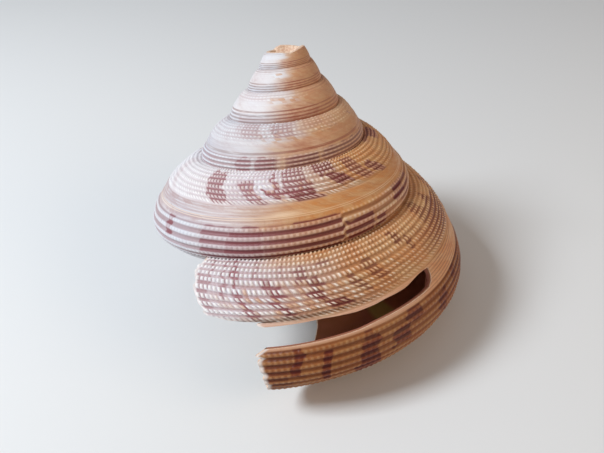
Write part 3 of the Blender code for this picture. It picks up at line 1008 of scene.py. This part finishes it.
class RibbedShell(Finish):
    """Outside: cream beads with maroon grooves, flames and dashes, worn and cloudy on the spire."""

    def __init__(self):
        super().__init__("ribbed_shell")
        self.turns = self.fact("turns")
        self.across = self.fact("across")
        self.grown = self.fact("grown")
        self.flame = self.fact("maroon")
        self.plain = 1.0 - self.flame
        self.blush = self.fact("blush")
        self.chalk = self.fact("chalk")
        self.jumble = self.fact("jumble")
        self.band = self.fact("band")
        self.worn = self.fact("worn")
        self.below = self.across.rise(BAND_FOOT - 0.01, BAND_FOOT + 0.01)
        self.above = 1.0 - self.below
        self.calm = self.fact("calm") * self.above
        self.frost = self.fact("frost") * self.above
        cord = self.fact("cord")
        bead = self.fact("bead")
        self.crest = cord.wave()
        self.knob = bead.wave()
        self.cell = self.mottle(bead.whole() * 0.77, cord.whole() * 3.7, 3.0, 0.0, 0.5)
        self.other_cell = self.mottle(bead.whole() * 0.41, cord.whole() * 2.3, 8.0, 0.0, 0.5)
        self.cloud = self.mottle(self.grown * 40.0, self.across * 7.0, 0.0, 4.0, 0.65)
        self.streak = self.mottle(self.grown * 260.0, self.across * 3.0, 4.0, 3.0, 0.6)
        self.wisp = self.mottle(self.grown * 14.0, self.across * 26.0, 7.0, 4.0, 0.6)
        fine = self.mottle(self.grown * 500.0, self.across * 70.0, 0.0, 3.0, 0.6)
        self.surface(self.colour(), 0.42 + 0.25 * (fine - 0.5), fine, 0.00008, gloss=0.32)

    def bead_colour(self):
        """Cream or tan beads, whiter on the pale side where the white is partly painted light, with painted
        highlights on their tips, stained where a flame crosses them.
        """
        cream = self.mix(self.cloud.rise(0.35, 0.65), PEACH, CREAM)
        # Whiter on the pale side: partly chalky colour, partly painted light
        cream = self.mix(self.chalk, cream, CHALK_AND_LIGHT_WHITE)
        tan = self.mix(self.cloud.rise(0.3, 0.7), ORANGE_TAN, GOLD_TAN)
        # Tan stretches, and painted warm shade on the warm side
        colour = self.mix(self.blush * (1.0 - 0.7 * self.chalk), cream, tan)
        # Painted highlights on the bead tips, softer on the warm shaded side
        tip = (self.crest * self.knob).rise(0.3, 0.85) * (1.0 - 0.5 * self.calm)
        tip = tip * (1.0 - self.worn) * (1.0 - self.band) * (1.0 - 0.5 * self.below)
        bright = 0.36 + (0.24 + 0.3 * self.jumble) * self.other_cell.rise(0.42, 0.6)
        colour = self.mix(tip * bright, colour, PAINTED_HIGHLIGHT_WHITE)
        colour = self.mix(self.jumble * self.cell.rise(0.5, 0.62) * 0.7, colour, ORANGE_TAN)
        lobe_flame = self.below * self.flame.rise(0.3, 0.9) * self.turns.rise(0.6, 0.4)
        colour = self.mix(lobe_flame * 0.8, colour, RED_BROWN)
        stain_and_glint = self.flame * self.turns.rise(0.6, 1.0) * (1.0 - 0.3 * self.below)
        return self.mix(stain_and_glint * 0.7, colour, STAINED_PINK)

    def gap_colour(self):
        """Brown or mauve grooves, maroon where a flame crosses them and faded on the spire."""
        mauve = self.mix(self.turns.rise(0.75, 0.9) * self.above, MAUVE, PALE_MAUVE)
        # Mauve on the pale side: partly its own colour, partly painted light
        plain = self.mix(self.chalk, BROWN_TAN, mauve)
        dark = self.mix(self.chalk, MAROON, MAUVE_MAROON)
        colour = self.mix(self.flame.rise(0.1, 0.6), plain, dark)
        faded = self.turns.rise(1.6, 2.2) * (0.5 - 0.4 * self.below)
        return self.mix(faded, colour, FADED_PINK)

    def gap_share(self):
        """1 in the grooves, between beads and in the darkest flames, and 0 on the beads."""
        groove = 1.0 - self.crest.rise(self.below * 0.15 + 0.12, self.below * 0.2 + 0.72)
        groove = groove * (0.72 + 0.28 * self.flame)
        gap = (1.0 - self.knob.rise(0.1, 0.6)) * (0.42 + 0.58 * self.flame)
        gap = gap * (1.0 - 0.7 * self.below) * (1.0 - self.worn)
        stained = (self.flame - 0.5) * 1.4 * self.cell.rise(0.46, 0.6) * (1.0 - 0.6 * self.below)
        # Grooves paler in the tan stretches and in the painted warm shade
        share = groove.most(gap) * (1.0 - 0.4 * self.blush * self.plain * self.above)
        share = share.most(stained.rise(0.0, 1.0)) * (1.0 - self.band)
        # Grooves painted paler: softer on the warm shaded side, washed out by painted cool light
        share = share * (1.0 - 0.4 * self.calm * self.plain) * (1.0 - 0.6 * self.frost * self.plain)
        return share * (1.0 - self.worn * (0.9 - 0.75 * self.below * self.flame.rise(0.2, 0.6)))

    def band_colour(self):
        """Slit band: tan and cloudy, pale mauve on the pale side where it is partly painted light, with
        furrows and threads.
        """
        tone = self.mix(self.cloud.rise(0.35, 0.7), ORANGE_TAN, SAND_TAN)
        tone = self.mix(self.streak.rise(0.45, 0.75) * 0.3, tone, RED_BROWN)
        pale = self.mix(self.wisp.rise(0.42, 0.6), PALE_BAND, MAUVE_GREY)
        pale = self.mix((self.across * 30.0).wave().rise(0.55, 0.9) * 0.35, pale, MAUVE)
        pale = self.mix(self.cloud.rise(0.5, 0.62) * 0.5, pale, MAUVE)
        # Pale mauve on the pale side: partly its own colour, partly painted light
        tone = self.mix(self.chalk, tone, pale)
        tone = self.mix(self.turns.rise(0.32, 0.2) * 0.8, tone, MARGIN_PINK)
        start, end = FURROW_TURNS
        furrow = (self.across * FURROWS_PER_ACROSS).wave().rise(0.45, 0.1)
        furrow = furrow * self.turns.rise(*start) * self.turns.rise(*end[::-1])
        tone = self.mix(furrow * 0.75, tone, BROWN_TAN)
        glow = self.turns.hump(*GLOW_TURNS) * self.across.hump(*GLOW_ACROSS)
        tone = self.mix(glow * 0.8, tone, BAND_GLOW)
        upper, lower = (self.across.hump(place, 0.008) for place in BAND_THREADS)
        tone = self.mix(upper.most(lower) * self.turns.rise(0.5, 0.9) * 0.7, tone, CREAM)
        fine_thread = (self.across * FINE_THREADS_PER_ACROSS).wave().rise(0.7, 1.0)
        return self.mix(fine_thread * 0.22, tone, BROWN_TAN)

    def spire_marks(self, colour):
        """The colour with the lines, smudges and streaks of the worn whorls over it."""
        lines = ((self.across - BAND_MIDDLE) * SPIRE_LINES_PER_ACROSS).wave().rise(0.3, 0.75)
        lines = lines * self.wisp.rise(0.3, 0.5)
        lines = lines * (self.across.rise(0.60, 0.66) + 0.6 * self.across.rise(0.32, 0.2)) * self.worn
        # Lines greyer on the pale side, partly painted light
        colour = self.mix(lines * 0.85, colour, self.mix(self.chalk, RED_BROWN, LINE_GREY))
        smudge = self.mottle(self.grown * 16.0, self.across * 4.0, 9.0, 4.0, 0.7).rise(0.5, 0.72)
        colour = self.mix(smudge * self.worn * (0.45 - 0.35 * self.chalk), colour, RED_BROWN)
        return self.mix(self.streak.rise(0.55, 0.8) * 0.16, colour, BROWN_TAN)

    def colour(self):
        """Colour of the whole outside, tinted by its worn parts and by painted warm shade, painted shade on
        the lower lobe and painted cool light.
        """
        colour = self.mix(self.gap_share(), self.bead_colour(), self.gap_colour())
        colour = self.mix(self.band * (1.0 - self.worn), colour, self.band_colour())
        colour = self.spire_marks(colour)
        pink = self.worn * (1.0 - self.chalk) * (1.0 - 0.6 * self.blush)
        colour = self.mix(pink, colour, WORN_PINK, "MULTIPLY")
        # Painted warm shade deepens the tan stretches and the warm side
        colour = self.mix(self.blush * (1.0 - 0.8 * self.chalk), colour, WARM_SIDE, "MULTIPLY")
        colour = self.mix(self.blush * self.turns.rise(1.7, 2.1) * 0.22, colour, CREAM)
        # Lower lobe darker: partly its own brown, partly painted shade
        colour = self.mix(self.below * self.turns.rise(0.6, 0.35), colour, SHADED_LOWER_LOBE, "MULTIPLY")
        # Painted cool light on the pale side of the second whorl and low on the back of the last one
        cool_lit_share = self.turns.rise(1.75, 1.95) * self.turns.rise(2.8, 2.5)
        cool_lit_share = self.chalk * cool_lit_share.most(self.below * self.turns.rise(0.75, 0.9))
        colour = self.mix(cool_lit_share, colour, PAINTED_COOL_LIGHT, "MULTIPLY")
        # Painted glint along the mouth's edge
        return self.mix(self.fact("rim") * 0.7, colour, PAINTED_HIGHLIGHT_WHITE)


def nacre():
    """Inside of the shell: pearly and greenish, with painted shade in dark red-brown deeper in and a painted
    green glint.
    """
    finish = Finish("nacre")
    turns = finish.fact("turns")
    across = finish.fact("across")
    cloud = finish.mottle(turns * 20.0, across * 6.0, 0.0, 3.0, 0.6)
    pearl = finish.mix(cloud.rise(0.3, 0.7), NACRE, NACRE_GREEN)
    # Painted shade deeper in
    depth = turns.rise(0.1, 0.16)
    colour = finish.mix(depth * 0.85, pearl, SHADED_INSIDE)
    # Painted green glint of light through the wall
    stain_and_glint = turns.hump(*GREEN_GLINT_TURNS) * across.hump(*GREEN_GLINT_ACROSS)
    colour = finish.mix(stain_and_glint.rise(0.0, 0.6) * 0.9, colour, NACRE_GREEN)
    return finish.surface(colour, 0.32, cloud, 0.0001)


def broken_edge():
    """Chalky broken edge of the shell, with painted shade towards the inside along the slit."""
    finish = Finish("broken_edge")
    place = finish.add("ShaderNodeTexCoord", None, None, "Object")
    grain = finish.noise(place, 2500.0, 3.0, 0.6)
    colour = finish.mix(grain.rise(0.35, 0.65), CREAM, PEACH)
    deep = finish.fact("deep")
    # Painted shade towards the inside
    colour = finish.mix(deep.rise(0.02, 0.16), colour, BROWN_TAN)
    colour = finish.mix(deep.rise(0.16, 0.5), colour, SHADED_INSIDE)
    return finish.surface(colour, 0.7, grain, 0.0001)


OUTSIDE = RibbedShell().material
INSIDE = nacre()
EDGE = broken_edge()


def spread(start, end, count):
    """Evenly spaced turns with as many steps as count."""
    return np.linspace(start, end, count + 1)


def tip_break(turns):
    """How far across a whorl's side the tip is broken away."""
    return table(TIP_BREAK, TIP_TURNS - turns)


def broken_rows(turns, across):
    """Rows of a side, moved down where the tip is broken away."""
    end = across[-1]
    start = np.minimum(tip_break(turns), end - 0.01)
    return start + across * (end - start) / end


def make_outside():
    """Side and base of the last whorl, and the spire; gives the columns' turns and the slit's end."""
    front = spread(LIP_START, FRONT_PART, COLUMNS_FRONT)
    slit_column = int(np.argmin(np.abs(front - SLIT_END)))
    near_slit_end = np.clip(1.0 - np.abs(front - SLIT_END) / 0.1, 0.0, 1.0)
    front = front + (SLIT_END - front[slit_column]) * near_slit_end
    back = spread(FRONT_PART, 1.0 + LIP_START, COLUMNS_BACK)
    second = spread(1.0 + LIP_START, SECOND_PART, COLUMNS_SECOND)
    turns = np.concatenate((front, back[1:], second[1:]))
    across = side_across(turns)
    side = outer_grid(np.broadcast_to(turns, across.shape), across)
    ends = np.cumsum((0, COLUMNS_FRONT, COLUMNS_BACK, COLUMNS_SECOND))
    keep = np.ones((across.shape[0] - 1, COLUMNS_FRONT), dtype=bool)
    keep[ROWS_ABOVE:ROWS_ABOVE + ROWS_BAND, :slit_column] = False
    add_grid("last_whorl_front", cut(side, slice(ends[0], ends[1] + 1)), OUTSIDE, keep)
    add_grid("last_whorl_back", cut(side, slice(ends[1], ends[2] + 1)), OUTSIDE)
    add_grid("second_whorl", cut(side, slice(ends[2], ends[3] + 1)), OUTSIDE)
    make_spire()
    under = turns[:ends[2] + 1]
    under_across = base_across(under)
    add_grid("base", outer_grid(np.broadcast_to(under, under_across.shape), under_across), OUTSIDE)
    return turns, slit_column


def make_spire():
    """Whorls above the second one, up to the broken tip."""
    turns = spread(SECOND_PART, TIP_TURNS, COLUMNS_TOP)
    across = side_across(turns)
    last = across.shape[0] - 1
    rows = np.append(np.arange(0, last + 1, SPIRE_ROW_STEP), (ROWS_ABOVE, ROWS_ABOVE + ROWS_BAND, last))
    across = broken_rows(turns, across[np.unique(rows)])
    add_grid("spire", outer_grid(np.broadcast_to(turns, across.shape), across), OUTSIDE)


def own_wall_across(turns):
    """Places across of the mesh rows inside a whorl's own wall, and the rows of the slit's sides."""
    side = side_across(turns)
    base = base_across(turns)
    foot_row = ROWS_ABOVE + ROWS_BAND
    rows = list(range(ROWS_FILLET, ROWS_ABOVE, INNER_STEP)) + [ROWS_ABOVE, ROWS_ABOVE + INNER_STEP, foot_row]
    rows += list(range(foot_row + INNER_STEP, side.shape[0], INNER_STEP))
    across = np.concatenate((side[rows], base[INNER_STEP::INNER_STEP]))
    return across, rows.index(ROWS_ABOVE), rows.index(foot_row)


def make_inside(side_turns, slit_column):
    """Nacre of the last whorls, from the mouth in: own wall, columella and the whorl above."""
    turns = np.concatenate((side_turns[:slit_column:INNER_STEP], side_turns[slit_column::INNER_STEP]))
    deep = spread(FINE_INNER_TURNS, HOLLOW_TURNS, HOLLOW_COLUMNS)
    turns = np.concatenate((turns[turns < FINE_INNER_TURNS], deep))
    slit = int(np.argmin(np.abs(turns - SLIT_END)))
    across, slit_top, slit_foot = own_wall_across(turns)
    own, facts = inner_points(np.broadcast_to(turns, across.shape), across)
    above_across = np.linspace(COLUMELLA, SIDE_END, ROWS_WHORL_ABOVE)[:, None] + np.zeros_like(turns)
    above_turns = np.broadcast_to(turns + 1.0, above_across.shape)
    above = around(above_turns, outline_point(above_turns, above_across))
    columella = [own[-1] * (1.0 - share) + above[0] * share for share in (0.25, 0.5, 0.75)]
    fillet = [above[-1] * (1.0 - share) + own[0] * share for share in (0.33, 0.67, 1.0)]
    points = np.concatenate((own, columella, above, fillet))
    rest = np.zeros((points.shape[0] - own.shape[0], len(turns)))
    rest_across = rest + np.linspace(COLUMELLA, 3.4, rest.shape[0])[:, None]
    facts = {
        "turns": np.concatenate((facts["turns"], rest + turns)),
        "across": np.concatenate((across, rest_across)),
    }
    keep = np.ones((points.shape[0] - 1, len(turns) - 1), dtype=bool)
    keep[slit_top:slit_foot, :slit] = False
    closed = np.concatenate((points[-2:-1], points, points[1:2]))
    normals = -grid_normals(closed)[1:-1]
    normals[-1] = normals[0]
    add_grid("inside", (points, normals, facts), INSIDE, keep, flip=True)


def edge_strip(name, turns, across, beside_turns, beside_across):
    """Broken edge of the wall along a line; the beside line lies just inside the shell's edge."""
    outside = outer_points(turns, across)[0]
    beside = outer_points(beside_turns, beside_across)[0]
    inside = inner_points(turns, np.maximum(across, SEAM_FILLET))[0]
    rounded_edge(name, outside, inside, towards(outside, beside), EDGE, name.startswith("slit"))


def make_edges(side_turns, slit_column):
    """Broken edges of the mouth and of the slit."""
    foot_row = ROWS_ABOVE + ROWS_BAND
    start = np.full(1, LIP_START)
    side = side_across(start)[:, 0]
    base = base_across(start)[1:, 0]
    lip = {"lip_above": side[:ROWS_ABOVE + 1], "lip_below": np.append(side[foot_row:], base)}
    for name, across in lip.items():
        turns = np.full_like(across, LIP_START)
        edge_strip(name, turns, across, turns + EDGE_LOOK, across)
    turns = side_turns[:slit_column + 1]
    rows = side_across(turns)
    back = turns[::-1]
    edge_strip("slit_edge_above", back, rows[ROWS_ABOVE][::-1], back, rows[ROWS_ABOVE - 1][::-1])
    edge_strip("slit_edge_below", turns, rows[foot_row], turns, rows[foot_row + 1])
    across = side_across(np.full(1, SLIT_END))[ROWS_ABOVE:foot_row + 1, 0]
    turns = np.full_like(across, SLIT_END)
    edge_strip("slit_end", turns, across, turns + EDGE_LOOK, across)


def make_columella_foot(side_turns):
    """Sunken middle of the base."""
    turns = side_turns[:COLUMNS_FRONT + COLUMNS_BACK + 1:FOOT_COLUMN_STEP]
    turns = np.append(turns, 1.0 + LIP_START)
    turns = lip_shaped(turns, np.full_like(turns, COLUMELLA))
    rim = outline_point(turns, np.full_like(turns, COLUMELLA))
    rows = [around(turns, rim * np.array((1.0 - share, 1.0))) for share in np.linspace(0.0, 1.0, 8)]
    points = np.array(rows)
    size = points.shape[:2]
    facts = {"turns": np.broadcast_to(turns, size), "across": np.full(size, COLUMELLA)}
    add_grid("columella_foot", (points, grid_normals(points), facts), INSIDE)


def make_columella_end():
    """End of the columella in the mouth."""
    start = np.full(1, LIP_START)
    across = np.full(1, COLUMELLA)
    own = inner_points(start, across)[0][0]
    lip = lip_shaped(start, across)
    first = around(lip, outline_point(lip, across))[0]
    last = around(start + 1.0, outline_point(start + 1.0, across))[0]
    rim = np.array([first, own] + [own * (1.0 - share) + last * share for share in (0.25, 0.5, 0.75, 1.0)])
    rows = [rim * np.array((1.0 - share, 1.0 - share, 1.0)) for share in np.linspace(0.0, 1.0, 6)]
    points = np.array(rows)
    facts = {"turns": np.zeros(points.shape[:2]), "across": np.full(points.shape[:2], COLUMELLA)}
    add_grid("columella_end", (points, grid_normals(points), facts), INSIDE)


def make_broken_tip():
    """Rim of the broken tip and the shallow pit inside it."""
    turns = spread(TIP_TURNS - 1.0, TIP_TURNS, TIP_COLUMNS)
    ring = around(turns, outline_point(turns, tip_break(turns)))
    floor_height = ring[:, 2].min() - TIP_PIT
    rows = []
    for share in np.linspace(0.0, 1.0, 5):
        narrow = 1.0 - TIP_WALL * share
        rounded = np.array((0.0, 0.0, TIP_ROUND * math.sin(math.pi * share)))
        rows.append(ring * np.array((narrow, narrow, 1.0)) + rounded)
    for share in np.linspace(0.0, 1.0, 9)[1:]:
        narrow = (1.0 - TIP_WALL) * math.sqrt(1.0 - share * share)
        deep = ring * np.array((narrow, narrow, 1.0 - share)) + np.array((0.0, 0.0, floor_height * share))
        rows.append(deep)
    points = np.array(rows)
    facts = {"turns": np.full(points.shape[:2], TIP_TURNS), "across": np.zeros(points.shape[:2])}
    add_grid("broken_tip", (points, -grid_normals(points), facts), EDGE, flip=True)


# Stage, light and camera, in metres
FLOOR_HALF = 3.0
FLOOR_COLOUR = (0.78, 0.78, 0.77, 1.0)
SURROUND_COLOUR = (0.95, 0.95, 1.0, 1.0)
SURROUND_STRENGTH = 0.24
LIGHTS_AIM = (0.0, 0.0, 0.02)
COOL_LIGHT = (0.86, 0.93, 1.0)
WARM_LIGHT = (1.0, 0.76, 0.52)
CAMERA_PLACE = (-0.00232, -0.1127, 0.10603)
CAMERA_DEGREES = (51.553, 2.074, -2.273)
CAMERA_LENS = 37.93


def soft_light(name, place, size, power, colour):
    """Square soft light that faces the shell."""
    lamp = bpy.data.lights.new(name, "AREA")
    lamp.shape = "SQUARE"
    lamp.size = size
    lamp.energy = power
    lamp.color = colour
    light = bpy.data.objects.new(name, lamp)
    light.location = place
    light.rotation_mode = "QUATERNION"
    light.rotation_quaternion = (Vector(LIGHTS_AIM) - Vector(place)).to_track_quat("-Z", "Y")
    bpy.context.collection.objects.link(light)


def make_stage():
    """Pale floor, soft lights and a pale surround."""
    mesh = bpy.data.meshes.new("floor")
    corners = [(x * FLOOR_HALF, y * FLOOR_HALF, 0.0) for x, y in ((-1, -1), (1, -1), (1, 1), (-1, 1))]
    mesh.from_pydata(corners, [], [(0, 1, 2, 3)])
    mesh.materials.append(Finish("floor").surface(FLOOR_COLOUR, 0.8))
    floor = bpy.data.objects.new("floor", mesh)
    bpy.context.collection.objects.link(floor)
    world = bpy.data.worlds.new("studio")
    bpy.context.scene.world = world
    world.use_nodes = True
    background = world.node_tree.nodes["Background"]
    background.inputs["Color"].default_value = SURROUND_COLOUR
    background.inputs["Strength"].default_value = SURROUND_STRENGTH
    soft_light("key", (-0.34, -0.06, 0.38), 0.16, 2.5, COOL_LIGHT)
    soft_light("fill", (0.4, -0.2, 0.25), 0.3, 0.75, WARM_LIGHT)
    bpy.context.scene.view_settings.view_transform = "Standard"


def make_camera():
    """Camera at the photograph's viewing angle."""
    lens = bpy.data.cameras.new("camera")
    lens.lens = CAMERA_LENS
    lens.clip_start = 0.01
    lens.clip_end = 10.0
    camera = bpy.data.objects.new("camera", lens)
    camera.location = CAMERA_PLACE
    camera.rotation_euler = [math.radians(angle) for angle in CAMERA_DEGREES]
    bpy.context.collection.objects.link(camera)
    bpy.context.scene.camera = camera


side_turns, slit_column = make_outside()
make_inside(side_turns, slit_column)
make_edges(side_turns, slit_column)
make_columella_foot(side_turns)
make_columella_end()
make_broken_tip()
make_stage()
make_camera()
